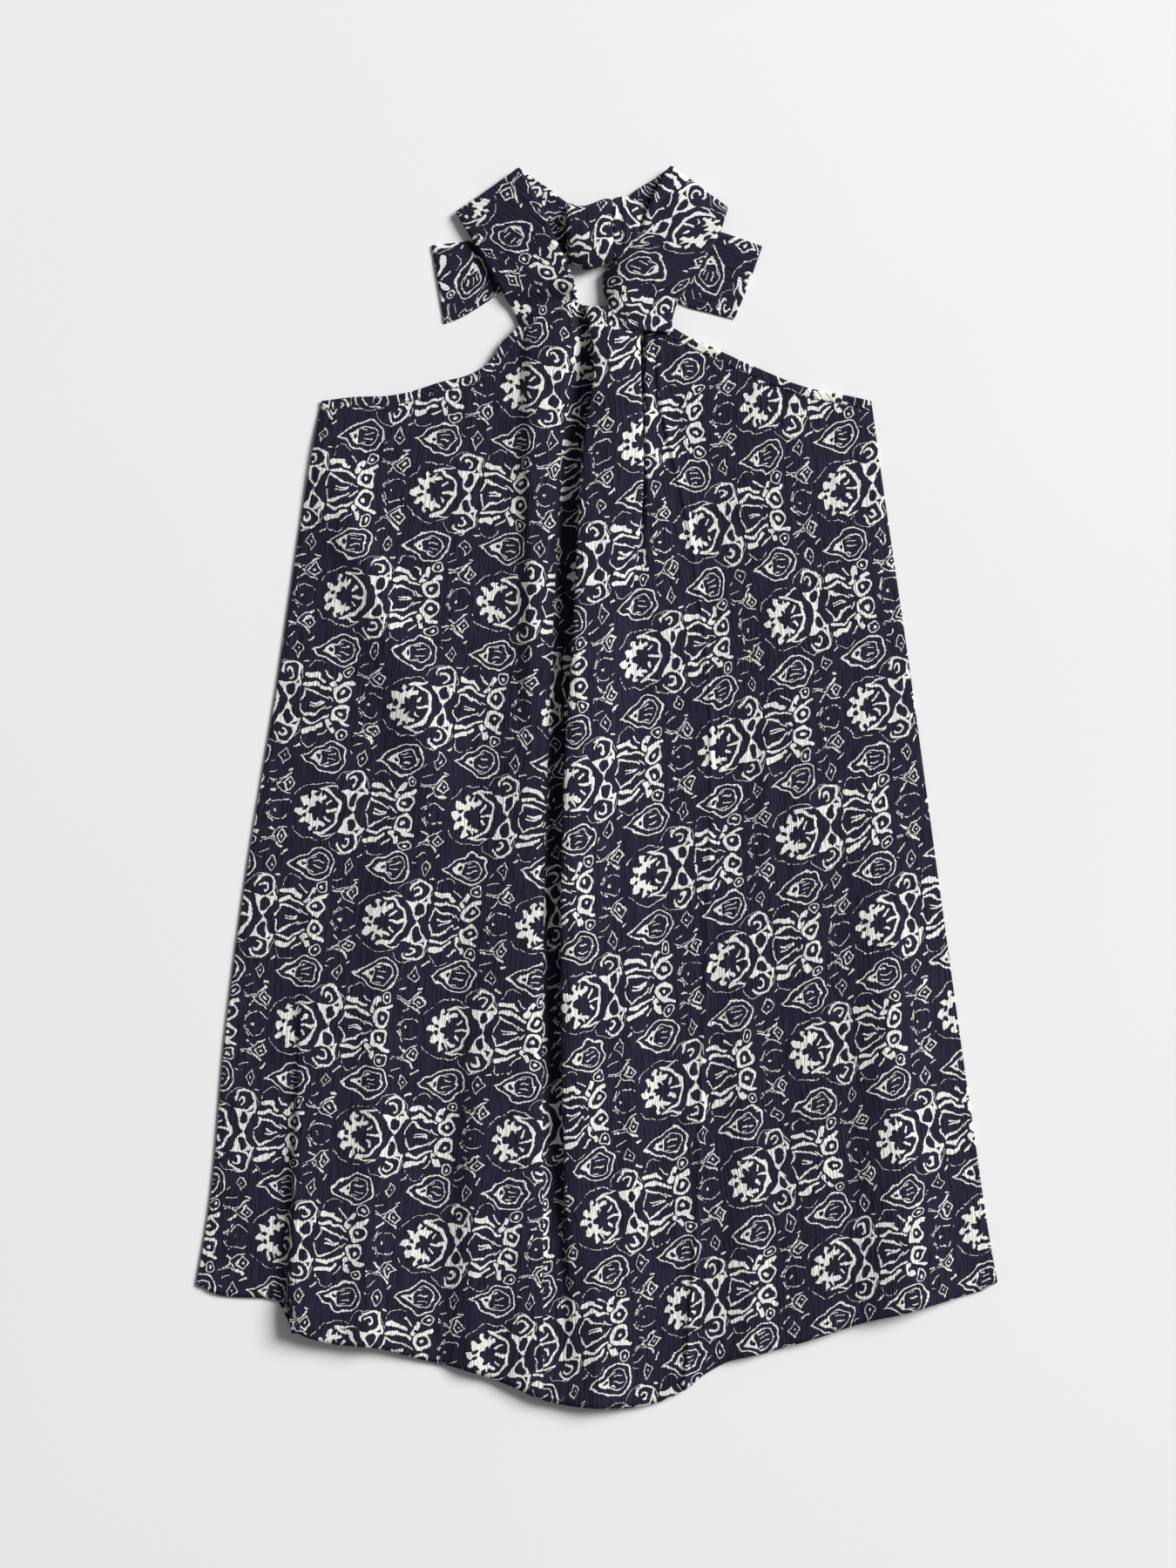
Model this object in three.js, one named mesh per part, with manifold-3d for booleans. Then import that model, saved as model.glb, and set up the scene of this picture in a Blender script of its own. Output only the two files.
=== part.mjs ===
// A short A-line halter-neck dress in crinkled crepe, lying flat on its back.
//
// Millimetres. +Z is up, off the surface. +Y points to the neck and +X to the right of someone
// looking down at the front. The origin is the centre of the outline, on the surface.
//
// The front and back panels are joined at the sides. The front is gathered into a neckline band, and
// a wide tie rises from each end of it. Each tie folds over backwards, and the two are knotted at
// what is the back of the neck when worn. Their tails lie under the loop, against the surface.

import * as THREE from 'three';
import { mergeVertices } from 'three/addons/utils/BufferGeometryUtils.js';
import Module from 'manifold-3d';

const wasm = await Module();
wasm.setup();

// ---------- driving dimensions ----------

const GAP = 0.3; // air left between two pieces that touch
const CLOTH = 1.2; // one crinkled ply as it lies
const TIE_CLOTH = 1.6; // the two plies of a tie

const HALF_HEM = 312; // half of the flat width at the hem
const HALF_BUST = 214; // half of the flat width under the arms
const HALF_LENGTH = 483.5; // from the origin to the lowest point of the hem and to the tie folds
const UNDERARM_Y = 300;
const HEM_SIDE_Y = -388; // where the side seams end
const SIDE_BOW = 6; // how far the left side bows out between its ends

const BINDING_WIDTH = 7;
const HEM_WIDTH = 8;
const BAND_WIDTH = 12; // the band that holds the gathers
const SEAM_WIDTH = 10;
const SEAM_CLOTH = 0.8;

const INSIDE_Z = CLOTH + GAP; // the space between the panels begins here
const FRONT_Z = INSIDE_Z + SEAM_CLOTH + GAP; // underside of the front
const BAND_HEIGHT = 3.4;
const BASE_Z = FRONT_Z + BAND_HEIGHT + GAP + TIE_CLOTH / 2; // middle of a tie where it is sewn on

const FOLD_AXIS_Y = 360; // the line that the neck loop bends on
const BEND_CLEARANCE = 1.5; // from that line to the first of the loop

const KNOT_CENTRE = new THREE.Vector3(5.5, 429.5, 0);
const KNOT_SIZE = new THREE.Vector3(57, 54, 10.2);
const TAIL_Z = TIE_CLOTH / 2; // middle of a tail
const KNOT_Z = TIE_CLOTH + GAP; // underside of the knot
const FRONT_PLY_Z = KNOT_Z + KNOT_SIZE.z + GAP + TIE_CLOTH; // middle of a tie's front ply
const BACK_PLY_Z = 5.5; // middle of its back ply

const NAVY = new THREE.Color('#2b2648');
const CREAM = new THREE.Color('#e6e5da');

// ---------- outlines, each drawn from left to right ----------

const curve = (points) => new THREE.SplineCurve(points.map(([x, y]) => new THREE.Vector2(x, y)));

const leftArmhole = curve([
  [-HALF_BUST, UNDERARM_Y], [-160, 304], [-122, 314], [-92, 325], [-76, 341], [-60, 358], [-50, 366],
]);
const neckline = curve([[-45, 369.5], [-20, 376], [10, 374], [56, 357]]);
const rightArmhole = curve([
  [59, 355.5], [91, 339], [135, 319], [173, 307], [HALF_BUST, UNDERARM_Y],
]);
const backTop = curve([[-HALF_BUST, UNDERARM_Y], [0, UNDERARM_Y - 12], [HALF_BUST, UNDERARM_Y]]);
const hem = curve([
  [-HALF_HEM, HEM_SIDE_Y], [-240, -411], [-171, -437], [-108, -453], [-40, -478], [10, -HALF_LENGTH],
  [53, -478], [84, -458], [131, -441], [208, -417], [HALF_HEM, HEM_SIDE_Y],
]);

// A point on an outline, moved to the right-hand side of its direction, which is into the cloth on
// the upper outlines.
function inset(outline, t, distance) {
  const point = outline.getPoint(t);
  const along = outline.getTangent(t);
  return new THREE.Vector2(point.x + along.y * distance, point.y - along.x * distance);
}

const COLUMNS = 30; // facets across a panel
const armholeShare = 1 / 3; // of them, on each side

// The front panel's upper edge below its bindings and band, for u from 0 at the left to 1.
function frontTop(u) {
  if (u < armholeShare - 0.5 / COLUMNS) {
    return inset(leftArmhole, u / armholeShare, BINDING_WIDTH + GAP);
  }
  if (u > 1 - armholeShare + 0.5 / COLUMNS) {
    return inset(rightArmhole, (u - 1 + armholeShare) / armholeShare, BINDING_WIDTH + GAP);
  }
  return inset(neckline, (u - armholeShare) / (1 - 2 * armholeShare), BAND_WIDTH + GAP);
}

const hemTop = (u) => inset(hem, u, -HEM_WIDTH - GAP);

// ---------- folds of the front ----------

// Each ridge runs from the band to the hem: its x at the top and at the hem, its half width, its
// height below the band and how much of that is left at the hem.
const RIDGES = [
  { top: -42, hem: -52, spread: 15, height: 6.5, left: 0.15 },
  { top: 12, hem: 6, spread: 20, height: 7.5, left: 0.2 },
  { top: 70, hem: 76, spread: 12, height: 3.5, left: 0.9 },
  { top: -120, hem: -205, spread: 30, height: 1.5, left: 1.6 },
];
const RIDGE_START_Y = 352; // the gathers are flat under the band
const RIDGE_FULL_Y = 325;

function foldHeight(x, y) {
  const down = THREE.MathUtils.clamp((RIDGE_FULL_Y - y) / (RIDGE_FULL_Y + HALF_LENGTH), 0, 1);
  const risen = THREE.MathUtils.smoothstep(RIDGE_START_Y - y, 0, RIDGE_START_Y - RIDGE_FULL_Y);
  return RIDGES.reduce((sum, ridge) => {
    const centre = THREE.MathUtils.lerp(ridge.top, ridge.hem, down);
    const height = ridge.height * THREE.MathUtils.lerp(1, ridge.left, down) * risen;
    return sum + height * Math.exp(-(((x - centre) / ridge.spread) ** 2));
  }, 0);
}

// ---------- solids ----------

// A closed solid between two surfaces, each a function of u and v. v x u points from the second
// surface to the first.
function between(first, second, columns, rows) {
  const positions = [];
  for (const surface of [first, second]) {
    for (let j = 0; j <= rows; j += 1) {
      for (let i = 0; i <= columns; i += 1) {
        positions.push(...surface(i / columns, j / rows).toArray());
      }
    }
  }
  const width = columns + 1;
  const layer = width * (rows + 1);
  const index = [];
  const quad = (a, b, c, d) => index.push(a, b, c, a, c, d);
  const wall = (a, b) => quad(a, b, b + layer, a + layer);
  for (let j = 0; j < rows; j += 1) {
    for (let i = 0; i < columns; i += 1) {
      const a = j * width + i;
      quad(a, a + width, a + width + 1, a + 1);
      quad(a + layer, a + layer + 1, a + layer + width + 1, a + layer + width);
    }
  }
  for (let i = 0; i < columns; i += 1) {
    wall(i, i + 1);
    wall(rows * width + i + 1, rows * width + i);
  }
  for (let j = 0; j < rows; j += 1) {
    wall((j + 1) * width, j * width);
    wall(j * width + columns, (j + 1) * width + columns);
  }
  const geometry = new THREE.BufferGeometry();
  geometry.setAttribute('position', new THREE.Float32BufferAttribute(positions, 3));
  geometry.setIndex(index);
  return geometry;
}

// A flat strip between an outline and the same outline moved sideways.
function edgeStrip(outline, width, bottom, top, steps) {
  const at = (z) => (u, v) => {
    const point = inset(outline, u, v * width);
    return new THREE.Vector3(point.x, point.y, z);
  };
  return width > 0
    ? between(at(top), at(bottom), steps, 1)
    : between(at(bottom), at(top), steps, 1);
}

// A strip of cloth laid through pairs of edge points, with its thickness shared between both sides.
function ribbon(pairs, thickness) {
  const last = pairs.length - 1;
  const normals = pairs.map((pair, k) => {
    const before = pairs[Math.max(k - 1, 0)];
    const after = pairs[Math.min(k + 1, last)];
    const along = new THREE.Vector3();
    for (const side of [0, 1]) {
      along.add(after[side]).sub(before[side]);
    }
    const across = pair[1].clone().sub(pair[0]);
    return along.cross(across).normalize();
  });
  const side = (offset) => (u, v) => {
    const k = Math.round(v * last);
    return pairs[k][0].clone().lerp(pairs[k][1], u).addScaledVector(normals[k], offset);
  };
  return between(side(thickness / 2), side(-thickness / 2), 1, last);
}

const at = (x, y, z) => new THREE.Vector3(x, y, z);

// Pairs of edge points round a fold, from its upper ply to its lower one. The fold's edge runs from
// start to end, and the cloth lies on the right of that direction.
function foldPairs(start, end, upper, lower, steps) {
  const radius = (upper - lower) / 2;
  const edge = end.clone().sub(start).normalize();
  const outward = new THREE.Vector3(-edge.y, edge.x, 0);
  return Array.from({ length: steps + 1 }, (_, k) => {
    const angle = (Math.PI * k) / steps;
    const move = outward.clone().multiplyScalar(radius * (Math.sin(angle) - 1));
    move.z = (upper + lower) / 2 + radius * Math.cos(angle);
    return [start.clone().add(move), end.clone().add(move)];
  });
}

function toManifold(geometry) {
  const bare = new THREE.BufferGeometry();
  bare.setAttribute('position', geometry.getAttribute('position'));
  bare.setIndex(geometry.getIndex());
  const merged = mergeVertices(bare);
  return new wasm.Manifold(
    new wasm.Mesh({
      numProp: 3,
      vertProperties: new Float32Array(merged.getAttribute('position').array),
      triVerts: new Uint32Array(merged.getIndex().array),
    }),
  );
}

function fromManifold(solid) {
  const mesh = solid.getMesh();
  const geometry = new THREE.BufferGeometry();
  geometry.setAttribute('position', new THREE.Float32BufferAttribute(mesh.vertProperties, 3));
  geometry.setIndex(Array.from(mesh.triVerts));
  return geometry;
}

// ---------- the dress ----------

const dress = new THREE.Group();

function addPiece(name, geometry, color = NAVY, roughness = 0.9) {
  const material = new THREE.MeshStandardMaterial({ color, roughness, metalness: 0 });
  const mesh = new THREE.Mesh(geometry, material);
  mesh.name = name;
  dress.add(mesh);
}

// Front: one gathered panel. Its underside is flat and its upper side carries the folds.
function frontPanel() {
  const spot = (u, v) => {
    const place = frontTop(u).lerp(hemTop(u), v);
    place.x -= SIDE_BOW * Math.sin(Math.PI * v) * (1 - u) ** 3;
    return place;
  };
  const upper = (u, v) => {
    const { x, y } = spot(u, v);
    return at(x, y, FRONT_Z + CLOTH + foldHeight(x, y));
  };
  const lower = (u, v) => {
    const { x, y } = spot(u, v);
    return at(x, y, FRONT_Z);
  };
  return between(upper, lower, COLUMNS, 16);
}

// Back: one plain panel, cut straight across under the arms.
function backPanel() {
  const upper = (u, v) => {
    const place = inset(backTop, u, BINDING_WIDTH + GAP).lerp(hemTop(u), v);
    return at(place.x - SIDE_BOW * Math.sin(Math.PI * v) * (1 - u) ** 3, place.y, CLOTH);
  };
  return between(upper, (u, v) => upper(u, v).setZ(0), COLUMNS, 6);
}

// The seam allowance of one side, pressed flat between the panels.
function sideSeam(side) {
  const seam = (z) => (u, v) => {
    const inward = 4 + SEAM_WIDTH * u;
    const x = THREE.MathUtils.lerp(HALF_BUST, HALF_HEM, v) - inward;
    const y = THREE.MathUtils.lerp(UNDERARM_Y - BINDING_WIDTH - 2, HEM_SIDE_Y + HEM_WIDTH, v);
    return at(side * x, y, z);
  };
  const low = seam(INSIDE_Z);
  const high = seam(INSIDE_Z + SEAM_CLOTH);
  return side > 0 ? between(low, high, 1, 4) : between(high, low, 1, 4);
}

function careLabel() {
  const label = new THREE.BoxGeometry(28, 42, SEAM_CLOTH / 2);
  label.translate(-HALF_BUST + 2, -40, INSIDE_Z + SEAM_CLOTH / 2);
  return label;
}

addPiece('front_panel', frontPanel());
addPiece('back_panel', backPanel());
addPiece('left_side_seam', sideSeam(-1));
addPiece('right_side_seam', sideSeam(1));
addPiece('care_label', careLabel(), CREAM, 0.6);
addPiece('front_hem', edgeStrip(hem, -HEM_WIDTH, FRONT_Z, FRONT_Z + CLOTH, COLUMNS));
addPiece('back_hem', edgeStrip(hem, -HEM_WIDTH, 0, CLOTH, COLUMNS));
addPiece('left_armhole_binding',
  edgeStrip(leftArmhole, BINDING_WIDTH, FRONT_Z, FRONT_Z + TIE_CLOTH, COLUMNS / 3));
addPiece('right_armhole_binding',
  edgeStrip(rightArmhole, BINDING_WIDTH, FRONT_Z, FRONT_Z + TIE_CLOTH, COLUMNS / 3));
addPiece('back_top_binding', edgeStrip(backTop, BINDING_WIDTH, 0, TIE_CLOTH, COLUMNS));
addPiece('neckline_band', edgeStrip(neckline, BAND_WIDTH, FRONT_Z, FRONT_Z + BAND_HEIGHT, COLUMNS / 3));

// ---------- neck loop ----------

// Two turns of cloth, one from each tie, side by side across the knot.
function knotBlock(swell) {
  const rounding = 4;
  const corner = 12;
  const half = KNOT_SIZE.clone().multiplyScalar(0.5).addScalar(swell - rounding);
  const shape = new THREE.Shape();
  shape.moveTo(-half.x + corner, -half.y);
  shape.absarc(half.x - corner, -half.y + corner, corner, -Math.PI / 2, 0);
  shape.absarc(half.x - corner, half.y - corner, corner, 0, Math.PI / 2);
  shape.absarc(-half.x + corner, half.y - corner, corner, Math.PI / 2, Math.PI);
  shape.absarc(-half.x + corner, -half.y + corner, corner, Math.PI, Math.PI * 1.5);
  const block = new THREE.ExtrudeGeometry(shape, {
    depth: 2 * half.z,
    curveSegments: 4,
    bevelSize: rounding,
    bevelThickness: rounding,
    bevelSegments: 3,
  });
  block.translate(KNOT_CENTRE.x, KNOT_CENTRE.y, KNOT_Z + KNOT_SIZE.z / 2 - half.z);
  return toManifold(block);
}

// Half of the space around the knot, on one side of a slanted cut.
function knotHalf(side) {
  const reach = 100;
  const slant = -0.5;
  const half = new THREE.BoxGeometry(reach, reach, reach);
  half.translate((side * (reach + GAP)) / 2, 0, 0);
  half.rotateZ(slant);
  half.translate(KNOT_CENTRE.x, KNOT_CENTRE.y, 0);
  return toManifold(half);
}

const knot = knotBlock(0);
const knotAndAir = knotBlock(GAP);

// One tie from the band to the knot: the front ply, the fold at its top and the back ply.
function strap(frontPairs, fold, knotPair) {
  const pairs = [
    ...frontPairs,
    ...foldPairs(fold[0], fold[1], FRONT_PLY_Z, BACK_PLY_Z, 4),
    knotPair,
  ];
  return fromManifold(toManifold(ribbon(pairs, TIE_CLOTH)).subtract(knotAndAir));
}

const bendY = FOLD_AXIS_Y + BEND_CLEARANCE;

const leftFront = [
  [at(-61, bendY, BASE_Z), at(-15, bendY + 14, BASE_Z)],
  [at(-74, 386, 9.5), at(-18, 392, 9.5)],
  [at(-98, 426, FRONT_PLY_Z), at(-30, 426, FRONT_PLY_Z)],
];
const leftFold = [at(-110, 448, 0), at(-60.5, 482, 0)];
const leftAtKnot = [at(-20, 410, KNOT_Z + 5), at(-20, 449, KNOT_Z + 5)];

const rightFront = [
  [at(10.5, bendY + 17, BASE_Z), at(53.5, bendY, BASE_Z)],
  [at(12.5, 399, 11), at(66, 384, 10)],
  [at(20, 415, FRONT_PLY_Z), at(80, 404, FRONT_PLY_Z)],
  [at(33.5, 436, FRONT_PLY_Z), at(93, 428, FRONT_PLY_Z)],
];
const rightFold = [at(57.3, HALF_LENGTH, 0), at(102, 451, 0)];
const rightAtKnot = [at(30, 450, KNOT_Z + 5), at(30, 409, KNOT_Z + 5)];

// The end of a tie, sewn down on the band and running up to the line that the loop bends on.
function strapBase(frontPairs) {
  const [left, right] = frontPairs[0];
  const up = left.clone().setY(left.y - BEND_CLEARANCE / 2);
  const upRight = right.clone().setY(right.y - BEND_CLEARANCE / 2);
  const down = at(left.x + 1, left.y - 9, BASE_Z);
  const downRight = at(right.x - 1, right.y - 9, BASE_Z);
  return ribbon([[down, downRight], [up, upRight]], TIE_CLOTH);
}

// A tail from its root, under the knot, to its seamed end.
const leftTail = [
  [at(-7, 434, TAIL_Z), at(-9, 416, TAIL_Z)],
  [at(-26, 433, TAIL_Z), at(-29, 411, TAIL_Z)],
  [at(-74, 428, TAIL_Z), at(-74, 385, TAIL_Z)],
  [at(-129, 422, TAIL_Z), at(-119, 361, TAIL_Z)],
];
const rightTail = [
  [at(18, 436, TAIL_Z), at(18, 418, TAIL_Z)],
  [at(40, 440, TAIL_Z), at(36, 405, TAIL_Z)],
  [at(70, 441, TAIL_Z), at(58, 379, TAIL_Z)],
  [at(129, 422, TAIL_Z), at(107, 365, TAIL_Z)],
];

addPiece('left_strap_base', strapBase(leftFront));
addPiece('right_strap_base', strapBase(rightFront));
addPiece('left_strap', strap(leftFront, leftFold, leftAtKnot));
addPiece('right_strap', strap(rightFront, rightFold, rightAtKnot));
addPiece('left_knot_turn', fromManifold(knot.intersect(knotHalf(-1))));
addPiece('right_knot_turn', fromManifold(knot.intersect(knotHalf(1))));
addPiece('left_tie_tail', ribbon(leftTail, TIE_CLOTH));
addPiece('right_tie_tail', ribbon(rightTail, TIE_CLOTH));

export default dress;
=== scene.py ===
"""A short A-line halter-neck dress in printed crinkle crepe, laid flat on a pale surface.

Lengths in this script are millimetres, and a mesh is turned into metres when it is made. The frame
is the CAD's: +X to the right of someone looking down at the front, +Y to the neck, +Z up.
"""

import math

import bpy
import numpy as np
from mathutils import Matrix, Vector


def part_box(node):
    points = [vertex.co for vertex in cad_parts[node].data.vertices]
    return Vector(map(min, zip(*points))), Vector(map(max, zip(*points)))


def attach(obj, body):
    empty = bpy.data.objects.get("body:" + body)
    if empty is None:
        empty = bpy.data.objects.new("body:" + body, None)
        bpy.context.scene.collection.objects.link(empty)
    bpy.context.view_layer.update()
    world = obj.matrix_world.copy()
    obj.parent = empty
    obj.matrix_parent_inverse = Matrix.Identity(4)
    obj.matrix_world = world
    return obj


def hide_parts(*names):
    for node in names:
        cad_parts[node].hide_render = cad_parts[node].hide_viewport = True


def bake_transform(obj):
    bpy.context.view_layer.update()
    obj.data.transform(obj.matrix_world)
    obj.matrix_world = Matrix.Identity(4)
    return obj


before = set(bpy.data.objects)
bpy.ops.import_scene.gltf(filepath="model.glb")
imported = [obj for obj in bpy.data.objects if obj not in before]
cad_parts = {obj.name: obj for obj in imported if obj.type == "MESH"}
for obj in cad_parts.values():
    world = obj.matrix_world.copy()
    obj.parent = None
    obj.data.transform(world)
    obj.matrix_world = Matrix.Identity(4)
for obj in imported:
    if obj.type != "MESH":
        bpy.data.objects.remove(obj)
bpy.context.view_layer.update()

MM = 0.001
DRESS, LOOP, LEFT_TAIL, RIGHT_TAIL = "dress", "neck_loop", "left_tail", "right_tail"

PERIOD, ROW = 121.0, 84.0  # the print's repeat across, and from one row of motifs to the next
CLOTH = 0.6  # thickness of one ply


# ---------- curves and noise ----------


def follow(points, at):
    """Smooth values through (place, value) pairs, at an array of places."""
    places, values = (np.array(side, float) for side in zip(*sorted(points)))
    slopes = np.gradient(values, places)
    at = np.clip(at, places[0], places[-1])
    k = np.clip(np.searchsorted(places, at) - 1, 0, len(places) - 2)
    span = places[k + 1] - places[k]
    t = (at - places[k]) / span
    rise = values[k + 1] - values[k]
    start, end = slopes[k] * span, slopes[k + 1] * span
    return values[k] + t * (start + t * (3 * rise - 2 * start - end + t * (start + end - 2 * rise)))


def runs(points):
    """How far each point of a line lies along it, from its first point."""
    return np.concatenate([[0], np.cumsum(np.linalg.norm(np.diff(points, axis=0), axis=1))])


def along(points, shares, smooth=True):
    """Points at shares of the length of a curve through the given points, in any dimension."""
    points = np.array(points, float)
    place = runs(points)
    fine = np.linspace(0, place[-1], 60 * len(points))
    if smooth:
        curve = np.stack([follow(list(zip(place, side)), fine) for side in points.T], axis=1)
    else:
        curve = np.stack([np.interp(fine, place, side) for side in points.T], axis=1)
    run = runs(curve)
    shares = np.asarray(shares) * run[-1]
    return np.stack([np.interp(shares, run, side) for side in curve.T], axis=-1)


def uneven(x, y, size, seed):
    """Smooth noise between -1 and 1 whose bumps are about one size across."""
    count = 64
    lattice = np.random.default_rng(seed).uniform(-1, 1, (count, count))
    column, line = np.floor(x / size).astype(int), np.floor(y / size).astype(int)
    s, t = x / size - column, y / size - line
    s, t = s * s * (3 - 2 * s), t * t * (3 - 2 * t)

    def corner(i, j):
        return lattice[(column + i) % count, (line + j) % count]

    lower = corner(0, 0) * (1 - s) + corner(1, 0) * s
    upper = corner(0, 1) * (1 - s) + corner(1, 1) * s
    return lower * (1 - t) + upper * t


def smooth_step(value, start, end):
    """0 before start, 1 past end, and a smooth rise between."""
    t = np.clip((value - start) / (end - start), 0, 1)
    return t * t * (3 - 2 * t)


# ---------- the print ----------


class Field:
    """A number or a place that varies over the cloth, worked out by nodes of one group."""

    tree = None

    def __init__(self, socket):
        self.socket = socket

    @classmethod
    def feed(cls, spot, value):
        if isinstance(value, Field):
            cls.tree.links.new(value.socket, spot)
        elif isinstance(value, tuple):
            spot.default_value = (*value, 0.0)[:3]
        else:
            spot.default_value = value if spot.type == "VALUE" else (value, value, value)

    @classmethod
    def math(cls, operation, *values, clamp=False):
        node = cls.tree.nodes.new("ShaderNodeMath")
        node.operation = operation
        node.use_clamp = clamp
        for spot, value in zip(node.inputs, values):
            cls.feed(spot, value)
        return cls(node.outputs[0])

    @classmethod
    def place(cls, operation, *values):
        """Vector math. LENGTH, DISTANCE and DOT_PRODUCT give a number."""
        node = cls.tree.nodes.new("ShaderNodeVectorMath")
        node.operation = operation
        for spot, value in zip(node.inputs, values):
            cls.feed(spot, value)
        gives_number = operation in ("LENGTH", "DISTANCE", "DOT_PRODUCT")
        return cls(node.outputs["Value" if gives_number else "Vector"])

    @classmethod
    def at(cls, x, y):
        node = cls.tree.nodes.new("ShaderNodeCombineXYZ")
        cls.feed(node.inputs[0], x)
        cls.feed(node.inputs[1], y)
        return cls(node.outputs[0])

    def parts(self):
        node = self.tree.nodes.new("ShaderNodeSeparateXYZ")
        self.feed(node.inputs[0], self)
        return Field(node.outputs[0]), Field(node.outputs[1])

    def __add__(self, other):
        return self.math("ADD", self, other)

    def __sub__(self, other):
        return self.math("SUBTRACT", self, other)

    def __mul__(self, other):
        return self.math("MULTIPLY", self, other)

    def __truediv__(self, other):
        return self.math("DIVIDE", self, other)

    def __neg__(self):
        return self.math("MULTIPLY", self, -1.0)

    def __abs__(self):
        return self.math("ABSOLUTE", self)


# Each shape below is the distance to its edge in millimetres, negative inside.


def union(*shapes):
    found = shapes[0]
    for shape in shapes[1:]:
        found = Field.math("MINIMUM", found, shape)
    return found


def common(*shapes):
    found = shapes[0]
    for shape in shapes[1:]:
        found = Field.math("MAXIMUM", found, shape)
    return found


def without(shape, *holes):
    return common(shape, *[-hole for hole in holes])


def band(distance, middle, width):
    """The stroke that follows a shape's edge at a distance from it."""
    return abs(distance - middle) - width / 2


def disc(spot, centre, radius):
    return Field.place("DISTANCE", spot, centre) - radius


def ring(spot, centre, radius, width):
    return band(Field.place("DISTANCE", spot, centre), radius, width)


def stroke(spot, start, end, width):
    """A straight stroke with round ends."""
    run = (end[0] - start[0], end[1] - start[1])
    squared = run[0] ** 2 + run[1] ** 2
    rest = Field.place("SUBTRACT", spot, start)
    share = Field.place("DOT_PRODUCT", rest, (run[0] / squared, run[1] / squared))
    share = Field.math("ADD", share, 0.0, clamp=True)
    nearest = Field.place("MULTIPLY_ADD", (-run[0], -run[1]), share, rest)
    return Field.place("LENGTH", nearest) - width / 2


def strokes(spot, *each):
    """Several straight strokes, each a start, an end and a width."""
    return union(*[stroke(spot, *one) for one in each])


def half_plane(spot, point, outward):
    """All that lies behind a straight line through a point."""
    size = math.hypot(*outward)
    normal = (outward[0] / size, outward[1] / size)
    return Field.place("DOT_PRODUCT", spot, normal) - (point[0] * normal[0] + point[1] * normal[1])


def wrapped(value, period):
    """value brought between minus and plus half of a period."""
    return Field.math("WRAP", value, period / 2, -period / 2)


def oval(spot, centre, half_wide, half_tall, lean=0.0):
    """About the distance to the edge of an oval whose long side leans by degrees."""
    c, s = math.cos(math.radians(lean)), math.sin(math.radians(lean))
    rest = Field.place("SUBTRACT", spot, centre)
    wide = Field.place("DOT_PRODUCT", rest, (c / half_wide, s / half_wide))
    tall = Field.place("DOT_PRODUCT", rest, (-s / half_tall, c / half_tall))
    return (Field.place("LENGTH", Field.at(wide, tall)) - 1.0) * min(half_wide, half_tall)


def curl(spot, centre, radius, width, *sides):
    """The part of a ring inside of half planes, each a point and an outward direction."""
    limits = [half_plane(spot, point, outward) for point, outward in sides]
    return common(ring(spot, centre, radius, width), *limits)


def sunburst(spot):
    """A toothed half disc with a star-shaped hole, closed by a wide arc."""
    x, y = spot.parts()
    radius = Field.place("LENGTH", spot)
    angle = Field.math("ARCTAN2", abs(y), -x)
    teeth = Field.math("SINE", angle * 11.0 + 1.2) * 2.3
    blaze = common(radius - (teeth + 15.8), x - 0.5)
    star = radius - (Field.math("SINE", angle * 6.0 + 0.6) * 1.7 + 6.0)
    holes = (((-11.0, 2.9), 1.7), ((-8.6, 10.6), 1.8), ((-3.2, 13.0), 1.5))
    body = without(blaze, star, *[disc(spot, centre, size) for centre, size in holes])
    arc = common(band(Field.place("DISTANCE", spot, (-1.5, 0)), 17.2, 2.7), -(x + 2.0))
    spokes = strokes(
        spot,
        ((6, 0), (15, 0.6), 1.9), ((0, 9.5), (3.5, 11.0), 3.6),
        ((5.6, 4.5), (8, 7.5), 2.2), ((-2, 17.5), (12, 19.5), 1.7),
    )
    return union(body, arc, spokes)


def leaf(spot):
    """A three-sided leaf that stands on its point, with a hooked scroll above it."""
    sides = common(
        half_plane(spot, (26, -0.5), (-13, -7.5)),
        half_plane(spot, (26, -0.5), (13, -7)),
        half_plane(spot, (24, 16.5), (0.1, 1)),
    )
    blade = without(sides, oval(spot, (26.3, 10.3), 3.0, 4.7, -12))
    hook = curl(spot, (25, 23.5), 7.6, 2.1, ((21, 20), (-1, -0.9)))
    curled = curl(spot, (23.5, 23.0), 3.1, 2.1, ((22, 22), (-1, -0.6)))
    stem = stroke(spot, (32.4, 21), (34.5, 14), 2.5)
    thin = curl(spot, (22, 19), 13.6, 0.8, ((18, 22), (-0.2, -1)))
    return union(blade, hook, curled, stem, thin)


def flames(spot):
    """Wavy strokes that rise from the sunburst to the blossom."""
    return strokes(
        spot,
        ((35.5, 1.5), (39, 10.5), 1.5), ((39, 10.5), (48, 7.5), 2.3),
        ((48, 7.5), (55, 3), 1.5), ((38.5, 14), (46, 15.5), 3.0),
        ((46, 15.5), (58, 10), 2.1), ((39, 22), (47, 21), 4.4),
        ((47, 20.5), (53, 16.5), 2.8), ((52, 25), (57.5, 20), 1.6),
        ((43, 1.5), (52, 0.4), 1.6), ((55, 5), (60, 2), 1.4),
    )


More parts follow.
